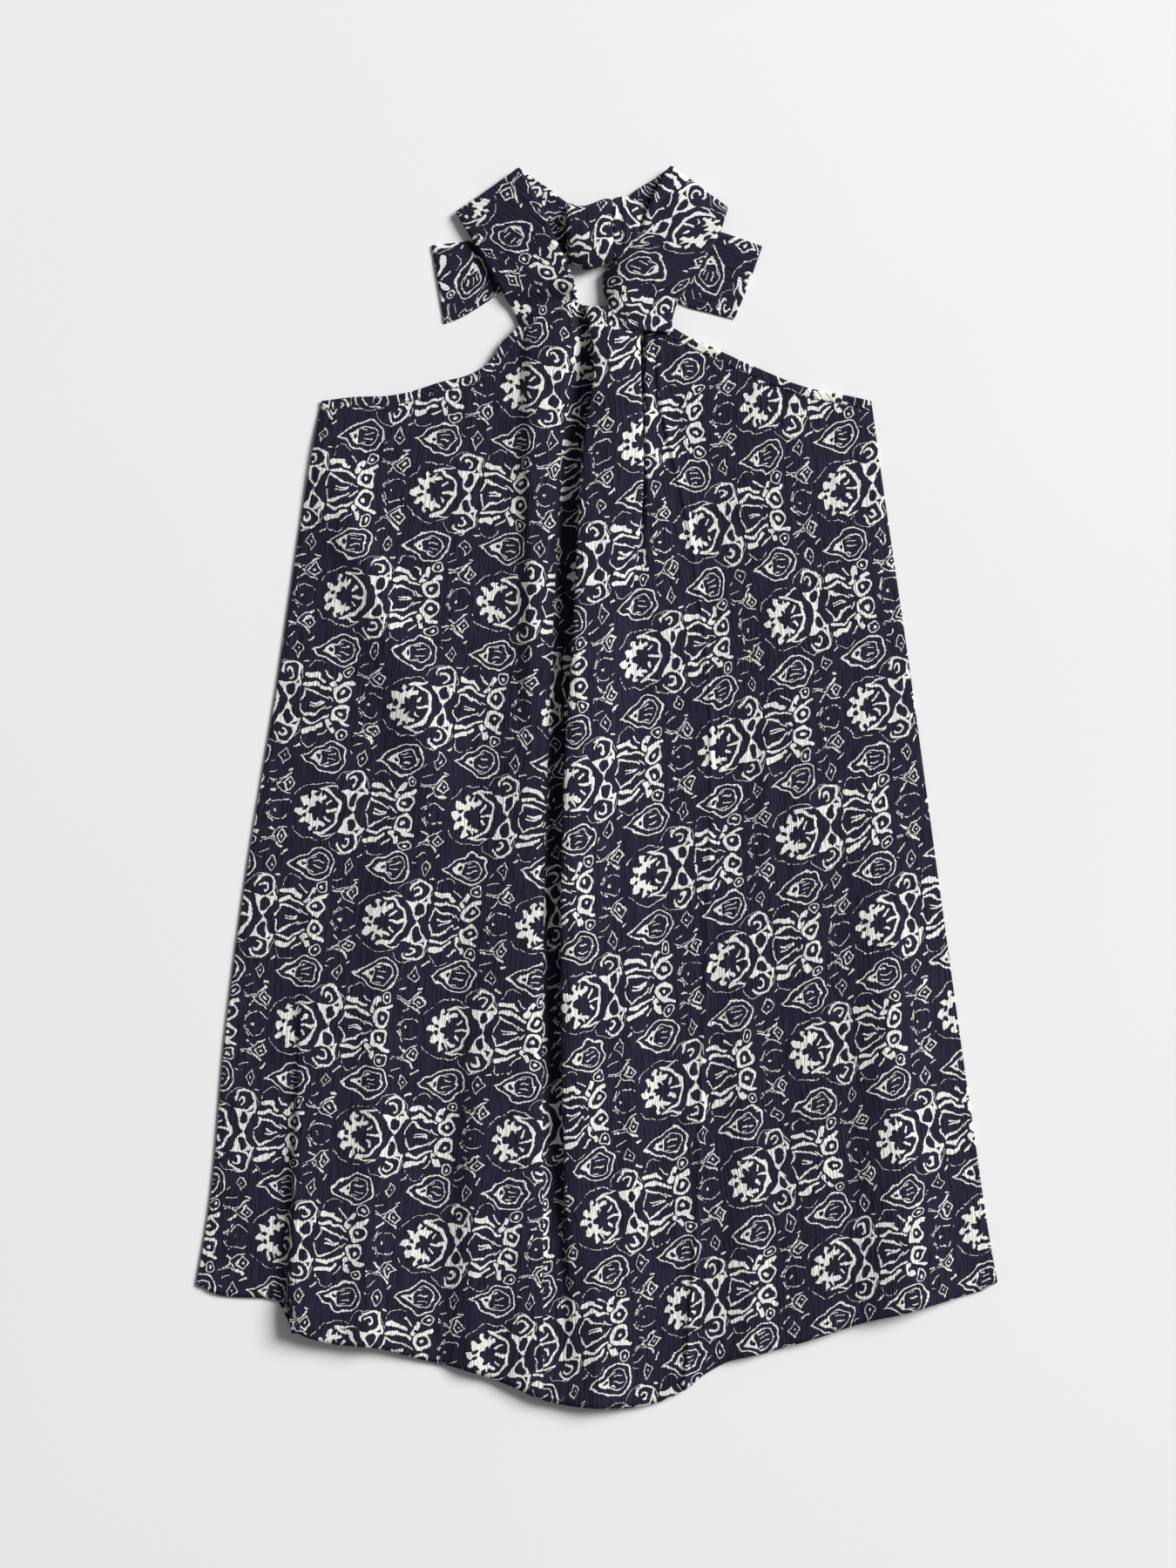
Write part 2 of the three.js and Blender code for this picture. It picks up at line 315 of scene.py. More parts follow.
def blossom(spot):
    """A cream bloom with a ringed eye, and a seed above it."""
    bloom = union(
        oval(spot, (67, 8), 7.0, 7.6, 20),
        stroke(spot, (59, 14), (63, 22), 4.4),
        stroke(spot, (67, 15), (74, 17.5), 3.2),
    )
    eye = without(oval(spot, (67.6, 8), 4.7, 4.3, 30), disc(spot, (67.2, 8.2), 1.9))
    seed = union(ring(spot, (70, 24.5), 3.9, 1.3), disc(spot, (70, 24.5), 1.5))
    return union(without(bloom, eye, disc(spot, (61.5, 17), 1.3)), seed)


def lozenge(spot, centre, narrow):
    """A diamond's distance along its own axes, zero at the middle."""
    away = Field.place("ABSOLUTE", Field.place("SUBTRACT", spot, centre))
    return Field.place("DOT_PRODUCT", away, (narrow, 0.72))


def diamonds(spot):
    """A diamond with a dot in it and thin arms round it."""
    size = lozenge(spot, (-26, 20.5), 0.8)
    gem = union(without(size - 4.4, size - 2.9), size - 1.1)
    arms = strokes(
        spot,
        ((-30, 25), (-25.5, 29.5), 2.0), ((-35, 20), (-30, 25), 1.1),
        ((-35, 20), (-30, 15), 1.1), ((-30, 15), (-24, 12.5), 1.4),
    )
    return union(gem, arms)


def tendrils(spot):
    """Thin broken lines round the motifs."""
    return union(
        curl(spot, (-31, 0), 8.6, 1.2, ((-31, 3), (0.2, -1))),
        stroke(spot, (-41, 3), (-37, 9.5), 1.4),
        stroke(spot, (-38, 14), (-34, 17), 1.8),
        stroke(spot, (-46, 23), (-33, 20.5), 1.3),
        curl(spot, (-37, 31), 8.2, 1.1, ((-33, 28), (1, 0.6))),
        disc(spot, (-34, 0), 1.3),
        curl(spot, (0, 0), 23.0, 1.0, ((0, 15), (0.2, -1))),
        curl(spot, (46, 26), 7.5, 1.0, ((46, 28), (0.3, -1))),
    )


def teardrop(spot):
    """Nested drops that point to the left, with a dotted wedge and dashes inside."""
    x, y = spot.parts()
    mirrored = Field.at(x, abs(y))
    size, reach = 13.0, 24.5
    lean = size / reach
    steep = math.sqrt(1 - lean**2)
    shifted = Field.place("SUBTRACT", mirrored, (3.5, 0))
    slope = Field.place("DOT_PRODUCT", shifted, (-lean, steep)) - size
    circle = Field.place("LENGTH", shifted) - size
    round_end = Field.math("LESS_THAN", Field.place("DOT_PRODUCT", shifted, (-steep, -lean)), 0.0)
    edge = Field.math("MULTIPLY_ADD", circle - slope, round_end, slope)
    wedge = without(common(edge + 4.3, x + 3.5), disc(spot, (-6.0, 0), 1.4))
    inner = common(band(edge, -5.2, 1.25), -(x + 5.0))
    dashes = strokes(mirrored, ((0.5, 2.1), (6.8, 2.4), 1.2), ((-1.0, 5.0), (2.5, 5.6), 1.1))
    return union(band(edge, -0.8, 1.6), inner, wedge, dashes, disc(spot, (11.4, 0), 1.25))


FIRST_MOTIF = -43.0  # where a repeat of the row of motifs starts, left of its sunburst
FINE_WANDER = (0.55, 2.0, 1.6)  # the noise that makes edges uneven: its scale, detail and reach
WIDE_WANDER = (0.11, 0.0, 4.6)  # the noise that bends whole motifs
INSET, SOFTNESS = 0.25, 0.14  # how far inside its outline a shape's ink ends, and how softly


def block_print():
    """The cream ink of a two-colour block print, from a place on the cloth in millimetres."""
    group = bpy.data.node_groups.new("block_print", "ShaderNodeTree")
    group.interface.new_socket("Place", in_out="INPUT", socket_type="NodeSocketVector")
    group.interface.new_socket("Ink", in_out="OUTPUT", socket_type="NodeSocketFloat")
    Field.tree = group
    place = Field(group.nodes.new("NodeGroupInput").outputs[0])

    def noise(scale, detail):
        node = group.nodes.new("ShaderNodeTexNoise")
        node.noise_dimensions = "2D"
        node.inputs["Scale"].default_value = scale
        node.inputs["Detail"].default_value = detail
        Field.feed(node.inputs["Vector"], place)
        return node

    def wander(scale, detail, reach):
        centred = Field.place("SUBTRACT", Field(noise(scale, detail).outputs["Color"]), (0.5, 0.5))
        moved = Field.place("SCALE", centred)
        moved.socket.node.inputs["Scale"].default_value = reach
        return moved

    spot = Field.place("ADD", place, wander(*FINE_WANDER))
    spot = Field.place("ADD", spot, wander(*WIDE_WANDER))
    x, y = spot.parts()
    row = Field.math("FLOOR", y / ROW + 0.5)
    shift = Field.math("MODULO", abs(row), 2.0) * (PERIOD / 2)
    across = Field.math("WRAP", x + shift, PERIOD + FIRST_MOTIF, FIRST_MOTIF)
    motif = Field.at(across, abs(y - row * ROW))
    drop_y = wrapped(y - ROW / 2, ROW)
    drop = Field.at(wrapped(x, PERIOD / 2), drop_y)
    between = Field.at(wrapped(x - PERIOD / 4 + 2.0, PERIOD / 2), drop_y)
    size = lozenge(between, (0, 0), 1.15)
    dashes = strokes(
        between,
        ((7, 8), (10, 10), 1.7), ((5, -10), (8, -10), 1.6),
        ((-9, 9), (-3, 12), 1.1), ((-10, -12), (-4, -10), 1.1),
    )
    marks = union(band(size, 4.6, 1.3), size - 1.1, dashes)
    gaps = (Field(noise(0.35, 1.0).outputs["Fac"]) - 0.60) * 12.0
    ink = union(
        sunburst(motif), leaf(motif), flames(motif), blossom(motif), diamonds(motif),
        common(tendrils(motif), gaps), teardrop(drop), marks,
    )
    edge = group.nodes.new("ShaderNodeMapRange")
    edge.interpolation_type = "SMOOTHSTEP"
    edge.inputs["From Min"].default_value = SOFTNESS
    edge.inputs["From Max"].default_value = -SOFTNESS
    Field.feed(edge.inputs["Value"], ink + INSET)
    result = group.nodes.new("NodeGroupOutput")
    group.links.new(edge.outputs[0], result.inputs[0])
    return group


# ---------- materials ----------


def new_material(name, roughness, sheen=0.0):
    """A matt material, its node tree and its shader."""
    material = bpy.data.materials.new(name)
    material.use_nodes = True
    shader = material.node_tree.nodes["Principled BSDF"]
    shader.inputs["Roughness"].default_value = roughness
    shader.inputs["Sheen Weight"].default_value = sheen
    shader.inputs["Sheen Roughness"].default_value = 0.5
    shader.inputs["Specular IOR Level"].default_value = 0.12
    return material, material.node_tree, shader


def add_noise(tree, place, stretch, scale, detail=2.0):
    """A noise node over places scaled by stretch first, and its factor socket."""
    mapping = tree.nodes.new("ShaderNodeMapping")
    mapping.inputs["Scale"].default_value = stretch
    tree.links.new(place, mapping.inputs["Vector"])
    noise = tree.nodes.new("ShaderNodeTexNoise")
    noise.inputs["Scale"].default_value = scale
    noise.inputs["Detail"].default_value = detail
    tree.links.new(mapping.outputs[0], noise.inputs["Vector"])
    return noise.outputs["Fac"]


def add_contrast(tree, value, darkest, brightest):
    """A value stretched so that darkest becomes 0 and brightest 1."""
    node = tree.nodes.new("ShaderNodeMapRange")
    node.inputs["From Min"].default_value = darkest
    node.inputs["From Max"].default_value = brightest
    tree.links.new(value, node.inputs["Value"])
    return node.outputs[0]


def add_mix(tree, factor, first, second):
    """A mix of two colours by a factor. Each of the three is a value or a socket."""
    mix = tree.nodes.new("ShaderNodeMix")
    mix.data_type = "RGBA"
    for spot, value in zip((mix.inputs[0], mix.inputs[6], mix.inputs[7]), (factor, first, second)):
        if isinstance(value, bpy.types.NodeSocket):
            tree.links.new(value, spot)
        else:
            spot.default_value = value
    return mix.outputs[2]


def add_bump(tree, height, distance, strength, under=None):
    """A normal that follows a height, on top of another bump."""
    bump = tree.nodes.new("ShaderNodeBump")
    bump.inputs["Distance"].default_value = distance
    bump.inputs["Strength"].default_value = strength
    tree.links.new(height, bump.inputs["Height"])
    if under:
        tree.links.new(under, bump.inputs["Normal"])
    return bump.outputs[0]


# Each pair runs from the colour in the crease hollows to the colour on the crests: the darker one is
# painted crease shade.
NAVY = (0.0070, 0.0056, 0.0125, 1.0), (0.0265, 0.0225, 0.0520, 1.0)  # darkest and lightest
CREAM = (0.68, 0.67, 0.62, 1.0), (0.89, 0.885, 0.84, 1.0)
THREAD_NAVY = (0.02, 0.017, 0.05, 1.0), (0.05, 0.045, 0.11, 1.0)
SATIN_WHITE = (0.78, 0.78, 0.75, 1.0), (0.9, 0.9, 0.87, 1.0)
PALE = (0.80, 0.80, 0.80, 1.0), (0.84, 0.84, 0.84, 1.0)


def printed_crepe(name, print_group):
    """Crinkled crepe: cream block print on navy, crinkled along the length of the cloth, with
    painted shade in the hollows of the crinkles.
    """
    material, tree, shader = new_material(name, roughness=0.85, sheen=0.04)
    cloth = tree.nodes.new("ShaderNodeUVMap")
    cloth.uv_map = "cloth"
    place = cloth.outputs[0]
    ink = tree.nodes.new("ShaderNodeGroup")
    ink.node_tree = print_group
    tree.links.new(place, ink.inputs[0])
    long_waves = add_noise(tree, place, (1.0, 0.07, 1.0), scale=0.75, detail=3.0)
    crease_relief_and_shade = add_contrast(tree, long_waves, darkest=0.30, brightest=0.70)
    threads = add_noise(tree, place, (1.0, 0.5, 1.0), scale=2.6, detail=1.0)
    # Both colours get darker where the crease noise is low, as painted shade in the crease hollows.
    # The same noise also drives the bump below.
    ground = add_mix(tree, crease_relief_and_shade, *NAVY)
    printed = add_mix(tree, crease_relief_and_shade, *CREAM)
    tree.links.new(add_mix(tree, ink.outputs[0], ground, printed), shader.inputs["Base Color"])
    fine = add_bump(tree, threads, distance=0.2 * MM, strength=0.6)
    crinkled = add_bump(tree, crease_relief_and_shade, distance=0.8 * MM, strength=0.9, under=fine)
    tree.links.new(crinkled, shader.inputs["Normal"])
    return material


def thread_material():
    """Twisted navy sewing thread."""
    material, tree, shader = new_material("navy_thread", roughness=0.6, sheen=0.2)
    coordinates = tree.nodes.new("ShaderNodeTexCoord")
    twist = tree.nodes.new("ShaderNodeTexWave")
    twist.inputs["Scale"].default_value = 900.0
    twist.inputs["Distortion"].default_value = 1.0
    tree.links.new(coordinates.outputs["Object"], twist.inputs["Vector"])
    colour = add_mix(tree, twist.outputs["Fac"], *THREAD_NAVY)
    tree.links.new(colour, shader.inputs["Base Color"])
    return material


def label_material():
    """White woven satin tape, with no text."""
    material, tree, shader = new_material("label_satin", roughness=0.45, sheen=0.1)
    cloth = tree.nodes.new("ShaderNodeUVMap")
    cloth.uv_map = "cloth"
    weave = add_noise(tree, cloth.outputs[0], (6.0, 1.0, 1.0), scale=2.0)
    tree.links.new(add_mix(tree, weave, *SATIN_WHITE), shader.inputs["Base Color"])
    woven = add_bump(tree, weave, distance=0.1 * MM, strength=0.3)
    tree.links.new(woven, shader.inputs["Normal"])
    return material


def floor_material():
    """The pale surface, with a faint cloudiness."""
    material, tree, shader = new_material("pale_surface", roughness=0.8)
    coordinates = tree.nodes.new("ShaderNodeTexCoord")
    cloud = add_noise(tree, coordinates.outputs["Object"], (1, 1, 1), scale=1.5)
    tree.links.new(add_mix(tree, cloud, *PALE), shader.inputs["Base Color"])
    return material


# ---------- meshes ----------


def make_object(name, places, faces, material, marks=None):
    """A smooth mesh object from places in millimetres, with marks on the cloth for each corner."""
    mesh = bpy.data.meshes.new(name)
    mesh.from_pydata((np.asarray(places) * MM).tolist(), [], faces)
    mesh.polygons.foreach_set("use_smooth", [True] * len(mesh.polygons))
    if marks is not None:
        layer = mesh.uv_layers.new(name="cloth")
        layer.data.foreach_set("uv", np.asarray(marks, np.float32).ravel())
    mesh.materials.append(material)
    mesh.validate()
    mesh.update()
    piece = bpy.data.objects.new(name, mesh)
    bpy.context.scene.collection.objects.link(piece)
    return piece


def grid_faces(lines, columns, wrap=False):
    """Corner numbers of the quads of a grid of points, lines by columns."""
    i, j = np.meshgrid(np.arange(columns if wrap else columns - 1), np.arange(lines - 1))
    a = j * columns + i
    b = j * columns + (i + 1) % columns
    return np.stack([a, a + columns, b + columns, b], axis=-1).reshape(-1, 4)


def sheet_object(name, places, marks, right_marks=None, seam=None):
    """One ply of crepe on a grid of places. Beyond the seam column right_marks are used."""
    lines, columns = places.shape[:2]
    faces = grid_faces(lines, columns)
    corner_marks = marks.reshape(-1, 2)[faces]
    if seam is not None:
        beyond = faces[:, 0] % columns >= seam
        corner_marks[beyond] = right_marks.reshape(-1, 2)[faces[beyond]]
    piece = make_object(name, places.reshape(-1, 3), faces.tolist(), CREPE, corner_marks)
    thicken = piece.modifiers.new("ply", "SOLIDIFY")
    thicken.thickness = CLOTH * MM
    thicken.offset = -1.0
    return piece


# ---------- outlines, millimetres ----------

LEFT_UNDERARM, RIGHT_UNDERARM = (-215, 300), (214, 300)
LEFT_ARMHOLE = [
    LEFT_UNDERARM, (-189, 303), (-162, 304), (-150, 306), (-122, 314.5), (-94, 323),
    (-83, 331), (-76, 341), (-68, 351), (-60, 359), (-51, 368),
]
NECKLINE = [(-31, 377), (-18, 377.5), (-8, 374), (10, 373.5), (30, 369), (56, 359)]
RIGHT_ARMHOLE = [
    (65, 353), (91, 341), (112, 331), (135, 321), (155, 313), (173, 308), (198, 303.5),
    RIGHT_UNDERARM,
]
FRONT_TOP = LEFT_ARMHOLE + NECKLINE + RIGHT_ARMHOLE
BACK_TOP = [LEFT_UNDERARM, (-100, 293), (0, 288), (100, 293), RIGHT_UNDERARM]
HEM = [
    (-313, -388), (-304, -393), (-246, -402), (-241, -404), (-239, -419), (-233, -424), (-216, -431),
    (-171, -437), (-135, -447), (-108, -453), (-69, -466), (-40, -478), (-20, -482), (10, -483.5),
    (31, -483), (53, -478), (71, -468), (84, -458), (100, -449), (131, -441), (163, -432),
    (193, -422), (208, -417), (241, -409), (285, -397), (307, -390), (313, -386),
]
# Each side is (y, x) from the top down. The lines below add a height, z.
LEFT_SIDE = [
    (300, -215), (273, -220), (70, -251), (-75, -274.5), (-184, -289), (-338, -304), (-390, -313),
]
RIGHT_SIDE = [
    (300, 214), (270, 218), (97, 243), (-86, 268), (-250, 291), (-385, 312), (-390, 313),
]


def track(columns, *points):
    """A line down a panel: the columns of the mesh up to the next line, and its (y, x, z)."""
    return columns, [(y, x) for y, x, _ in points], [(y, z) for y, _, z in points]


def beside(side, shift, z):
    """A side's points, moved sideways and given a height."""
    return [(y, x + shift, z) for y, x in side]


FRONT_LINES = [
    track(5, *beside(LEFT_SIDE, 0, 1.9)),
    track(12, *beside(LEFT_SIDE, 5, 2.5)),
    track(4, (300, -186, 3.2), (100, -215, 3.4), (-127, -231, 3.4), (-300, -238, 3.0),
        (-406, -243, 2.6)),
    track(10, (300, -184, 3.2), (100, -213, 3.6), (-127, -228, 4.6), (-300, -235, 8.0),
        (-406, -240, 10.5)),
    track(24, (300, -160, 3.4), (100, -185, 3.6), (-127, -200, 4.6), (-406, -214, 8.6)),
    track(14, (376, -68, 8.0), (340, -72, 5.0), (300, -76, 3.8), (100, -82, 3.6), (0, -96, 3.6),
        (-200, -112, 3.6), (-485, -122, 3.2)),
    track(9, (376, -57, 9.2), (340, -60, 4.8), (300, -61, 3.8), (200, -62, 3.6), (97, -62, 4.2),
        (0, -68, 6.4), (-200, -80, 6.6), (-485, -88, 4.0)),
    track(7, (376, -48, 11.6), (340, -51, 9.0), (260, -52, 8.6), (200, -52, 8.4), (97, -52, 8.2),
        (0, -53, 7.4), (-200, -57, 7.2), (-350, -60, 6.4), (-485, -66, 6.6)),
    track(6, (376, -30, 12.4), (340, -26, 8.4), (260, -34, 7.2), (200, -37, 7.0), (0, -44, 6.8),
        (-200, -48, 6.8), (-350, -49, 6.2), (-485, -52, 7.0)),
    track(5, (376, -20, 11.4), (340, -18, 6.0), (260, -28, 5.2), (200, -31, 5.0), (0, -39.5, 4.8),
        (-200, -43, 4.8), (-350, -42, 5.0), (-485, -42, 7.0)),
    track(5, (376, -17, 5.0), (340, -14, 3.0), (260, -24, 2.6), (200, -27.5, 2.4), (0, -36, 2.2),
        (-200, -39, 2.4), (-330, -38, 3.2), (-400, -36, 4.8), (-485, -34, 6.6)),
    track(7, (376, -9, 5.0), (340, -1, 2.2), (260, -9, 2.0), (200, -12, 1.8), (137, -15, 1.8),
        (0, -23, 1.8), (-200, -25, 2.0), (-330, -25, 3.2), (-400, -26, 4.8), (-485, -25, 6.6)),
    track(6, (376, -10, 9.2), (340, -3, 11.6), (260, -11.5, 13.4), (200, -15, 14), (137, -18, 14),
        (0, -26, 13.4), (-200, -28, 11.4), (-330, -24, 9.0), (-400, -20, 7.6), (-485, -16, 7.4)),
    track(10, (376, -4, 10.4), (340, 2, 13.0), (260, -5.5, 14.4), (200, -9, 15), (137, -12, 15),
        (0, -19, 14.4), (-200, -20, 12.4), (-330, -15, 9.8), (-400, -10, 8.6), (-485, -6, 8.4)),
    track(9, (376, 14, 10.4), (340, 15, 13), (200, 13, 13.8), (100, 7, 12), (0, 2, 10.8),
        (-200, 0, 9.0), (-485, 0, 9.4)),
    track(5, (376, 32, 9.4), (340, 33.5, 11.4), (206, 34, 11.2), (165, 29, 10.0), (138, 24, 9),
        (60, 22, 7.2), (-200, 20, 5.6), (-485, 20, 6.0)),
    track(6, (376, 35, 7.2), (340, 32.5, 3.4), (206, 33, 3.2), (165, 28.5, 4.4), (138, 26.5, 5.6),
        (60, 28, 6.0), (-200, 30, 4.8), (-485, 28, 3.6)),
    track(6, (376, 37, 6.6), (340, 35, 3.2), (206, 35.5, 3.4), (165, 32, 4.8), (138, 31, 5.4),
        (60, 34, 5.6), (-200, 36, 4.6), (-485, 34, 3.6)),
    track(7, (376, 41, 6.0), (340, 38.5, 6.4), (206, 39, 6.4), (165, 39, 5.6), (97, 46, 5.0),
        (-200, 50, 4.2), (-485, 45, 3.4)),
    track(5, (376, 47, 5.8), (322, 45, 4.0), (206, 67.5, 3.6), (97, 83, 3.5), (-90, 84, 3.5),
        (-215, 79, 3.5), (-338, 75, 3.6), (-485, 64, 3.8)),
    track(5, (376, 51, 6.2), (322, 48, 5.4), (206, 71, 5.0), (97, 86, 4.7), (-90, 87, 4.6),
        (-215, 82, 4.6), (-338, 78, 5.0), (-485, 67, 6.2)),
    track(16, (376, 55, 6.0), (322, 52, 4.2), (206, 74.5, 3.7), (97, 89, 3.6), (-90, 90, 3.6),
        (-215, 85.5, 3.6), (-338, 81, 3.6), (-485, 70, 3.8)),
    track(16, (376, 100, 4.2), (206, 120, 3.8), (0, 134, 3.6), (-200, 136, 3.6), (-485, 130, 3.4)),
    track(18, (300, 168, 3.4), (206, 174, 3.6), (0, 196, 3.8), (-200, 212, 4.6), (-400, 222, 5.4)),
    track(5, *beside(RIGHT_SIDE, -5, 2.3)),
    track(0, *beside(RIGHT_SIDE, 0, 1.9)),
]
FRONT_REST, BACK_REST = 3.0, 0.8  # where each panel lies with no fold
FOLD_LIFT, FULL_LIFT_BELOW, NO_LIFT_ABOVE = 0.45, 325.0, 368.0  # the share, and between which y
SIDE_FADE = (2.0, 30.0)  # how far from the sides the small waves start, and are full
GATHERED_ABOVE = 285.0  # from here up the cloth is gathered, so its folds take no more of the print
VALLEY = 9  # the line along which the print of the two halves meets
FRONT_LEVELS = 190

# Soft folds on top of the lines: (y, x) along the crest, (y, height) along it, and its half width.
SOFT_FOLDS = [
    ([(290, -214), (260, -208), (100, -158), (-66, -106), (-150, -84)],
     [(290, 0), (240, 2.2), (0, 2.0), (-150, 0)], 13),
    ([(40, 132), (-86, 132)], [(60, 0), (16, 1.4), (-60, 1.2), (-110, 0)], 4),
    ([(200, -120), (-60, -150), (-430, -160)], [(200, 0), (60, 1.2), (-150, 1.4), (-430, 0)], 16),
    ([(250, 130), (0, 160), (-430, 172)], [(250, 0), (100, 1.2), (-200, 1.5), (-430, 2.0)], 14),
    ([(-60, 222), (-400, 240)], [(20, 0), (-120, 4.0), (-400, 5.0)], 19),
    ([(320, 20), (-485, 30)], [(60, 0), (-60, 1.6), (-400, 1.8), (-485, 1.2)], 9),
    ([(-150, -92), (-470, -100)], [(-150, 0), (-260, 2.2), (-470, 3.0)], 10),
    ([(-100, 112), (-470, 120)], [(-60, 0), (-200, 1.4), (-470, 2.4)], 9),
    ([(0, -160), (-420, -182)], [(0, 0), (-150, 1.6), (-430, 2.4)], 8),
]


def crosswise(lines, column, y, which):
    """The x (which 1) or z (which 2) of a panel's columns, at an array of y."""
    starts = np.concatenate([[0], np.cumsum([columns for columns, _, _ in lines])[:-1]])
    values = np.stack([follow(line[which], y) for line in lines])
    k = np.clip(np.searchsorted(starts, column, side="right") - 1, 0, len(lines) - 2)
    share = (column - starts[k]) / (starts[k + 1] - starts[k])
    here, beyond = (np.take_along_axis(values, at[None], axis=0)[0] for at in (k, k + 1))
    return here * (1 - share) + beyond * share


def relaxed(grid, passes):
    """The grid with each column moved towards the mean of its neighbours a number of times."""
    grid = grid.copy()
    for _ in range(passes):
        grid[:, 1:-1] = 0.25 * grid[:, :-2] + 0.5 * grid[:, 1:-1] + 0.25 * grid[:, 2:]
    return grid


def body_grid(lines, top, levels, softness):
    """Places of a panel between the hem and a top edge, rows from the hem up."""
    count = sum(columns for columns, _, _ in lines) + 1
    column = np.arange(count)
    ends = []
    for edge, first_guess in ((HEM, -440.0), (top, 330.0)):
        y = np.full(count, first_guess)
        for _ in range(12):  # each column's end moves to where the edge crosses it
            y = 0.5 * y + 0.5 * follow(edge, crosswise(lines, column, y, 1))
        ends.append(y)
    level = np.linspace(0, 1, levels)[:, None]
    y = ends[0] * (1 - level) + ends[1] * level
    columns = np.broadcast_to(column, y.shape)
    x = relaxed(crosswise(lines, columns, y, 1), softness)
    z = relaxed(crosswise(lines, columns, y, 2), softness)
    return np.stack([x, y, z], axis=-1)


def front_grid():
    """Places of the front panel, with its folds, small waves and crinkle."""
    grid = body_grid(FRONT_LINES, FRONT_TOP, FRONT_LEVELS, softness=2)
    x, y, z = grid[..., 0], grid[..., 1], grid[..., 2]
    for crest, height, half_width in SOFT_FOLDS:
        z += follow(height, y) * np.exp(-0.5 * ((x - follow(crest, y)) / half_width) ** 2)
    z += (z - FRONT_REST) * FOLD_LIFT * smooth_step(y, NO_LIFT_ABOVE, FULL_LIFT_BELOW)
    inside = smooth_step(np.minimum(x - x[:, :1], x[:, -1:] - x), *SIDE_FADE)
    ripples = 0.35 * uneven(x, 0.2 * y, size=9, seed=3)
    waves = 0.8 * uneven(x, 0.22 * y, size=44, seed=5)
    z += inside * (ripples + waves)
    z += inside * 0.17 * uneven(x, 0.08 * y, size=3.2, seed=8)
    return grid


def cloth_marks(grid, zero_column, row_turn, column_turn, shift):
    """Marks on the cloth in millimetres: the run across from a column, and y.

    The print's rows and its columns are turned by degrees of their own, as on cloth that is skewed.
    """
    steps = np.linalg.norm(np.diff(grid[..., [0, 2]], axis=1), axis=-1)
    run = np.concatenate([np.zeros((len(grid), 1)), np.cumsum(steps, axis=1)], axis=1)
    spare = run - grid[..., 0]
    gathered = int(np.searchsorted(grid[:, zero_column, 1], GATHERED_ABOVE))
    spare[gathered:] = spare[gathered - 1]
    across = grid[..., 0] + spare - spare[:, zero_column : zero_column + 1]
    y = grid[..., 1]
    row, column = math.radians(row_turn), math.radians(column_turn)
    skew = math.cos(row - column)
    u = (across * math.cos(column) + y * math.sin(column)) / skew
    v = (y * math.cos(row) - across * math.sin(row)) / skew
    return np.stack([u + shift[0], v + shift[1]], axis=-1)


def edge_strip(name, edge, inward, width, overhang, thickness, shift, turn=0.0):
    """A flat tube of cloth along an edge: from overhang outside of it to width inside."""
    # the section's top half: places across it, and its half heights there
    across = np.array([-1.0, -0.93, -0.6, -0.2, 0.2, 0.6, 0.9, 1.0])
    half = thickness / 2 * np.array([0.05, 0.62, 1.0, 0.92, 0.92, 1.0, 0.7, 0.05])
    middle = edge + inward * ((width - overhang) / 2)
    reach = (width + overhang) / 2
    places = middle[:, None] + inward[:, None] * (across * reach)[None, :, None]
    puff = 0.12 * uneven(places[..., 0], places[..., 1], size=5, seed=17)
    top, bottom = places.copy(), places[:, ::-1].copy()
    top[..., 2] += half + puff
    bottom[..., 2] -= half[::-1] - puff[:, ::-1]
    tube = np.concatenate([top, bottom], axis=1)
    return closed_tube(name, tube, CREPE, shift, turn, span=2 * reach)


def closed_tube(name, tube, material, shift, turn, span):
    """A closed mesh of rings of places, with caps, marked along and round itself."""
    lines, columns = tube.shape[:2]
    faces = grid_faces(lines, columns, wrap=True)
    run = runs(tube.mean(axis=1))
    half = columns // 2
    share = np.concatenate([np.linspace(-0.5, 0.5, half), np.linspace(0.5, -0.5, columns - half)])
    u = np.broadcast_to(share * span, (lines, columns))
    v = np.broadcast_to(run[:, None], (lines, columns))
    c, s = math.cos(math.radians(turn)), math.sin(math.radians(turn))
    marks = np.stack([u * c - v * s + shift[0], u * s + v * c + shift[1]], axis=-1).reshape(-1, 2)
    corner_marks = marks[faces].reshape(-1, 2)
    caps = []
    for first, step in ((0, 1), ((lines - 1) * columns, -1)):
        end = [first + i for i in range(columns)][::step]
        caps += [[end[i], end[i + 1], end[-2 - i], end[-1 - i]] for i in range(half - 1)]
    cap_marks = marks[np.array(caps)].reshape(-1, 2)
    everything = np.concatenate([corner_marks, cap_marks])
    return make_object(name, tube.reshape(-1, 3), faces.tolist() + caps, material, everything)


def loft(rows, lines, columns):
    """A grid of places through rows of points, each from the left edge to the right."""
    spread = np.linspace(0, 1, columns)
    across = np.stack([along(row, spread, smooth=len(row) > 2) for row in rows])
    run = runs(across[:, columns // 2])
    at = np.linspace(0, run[-1], lines)
    grid = np.empty((lines, columns, 3))
    for i in range(columns):
        for axis in range(3):
            grid[:, i, axis] = follow(list(zip(run, across[:, i, axis])), at)
    return grid


def normals(grid):
    """Unit normals of a grid of places, on the side that faces up at the first row."""
    down = np.gradient(grid, axis=0)
    side = np.gradient(grid, axis=1)
    normal = np.cross(side, down)
    normal /= np.linalg.norm(normal, axis=-1, keepdims=True) + 1e-9
    return normal


TIE_WIDTH = 60.0


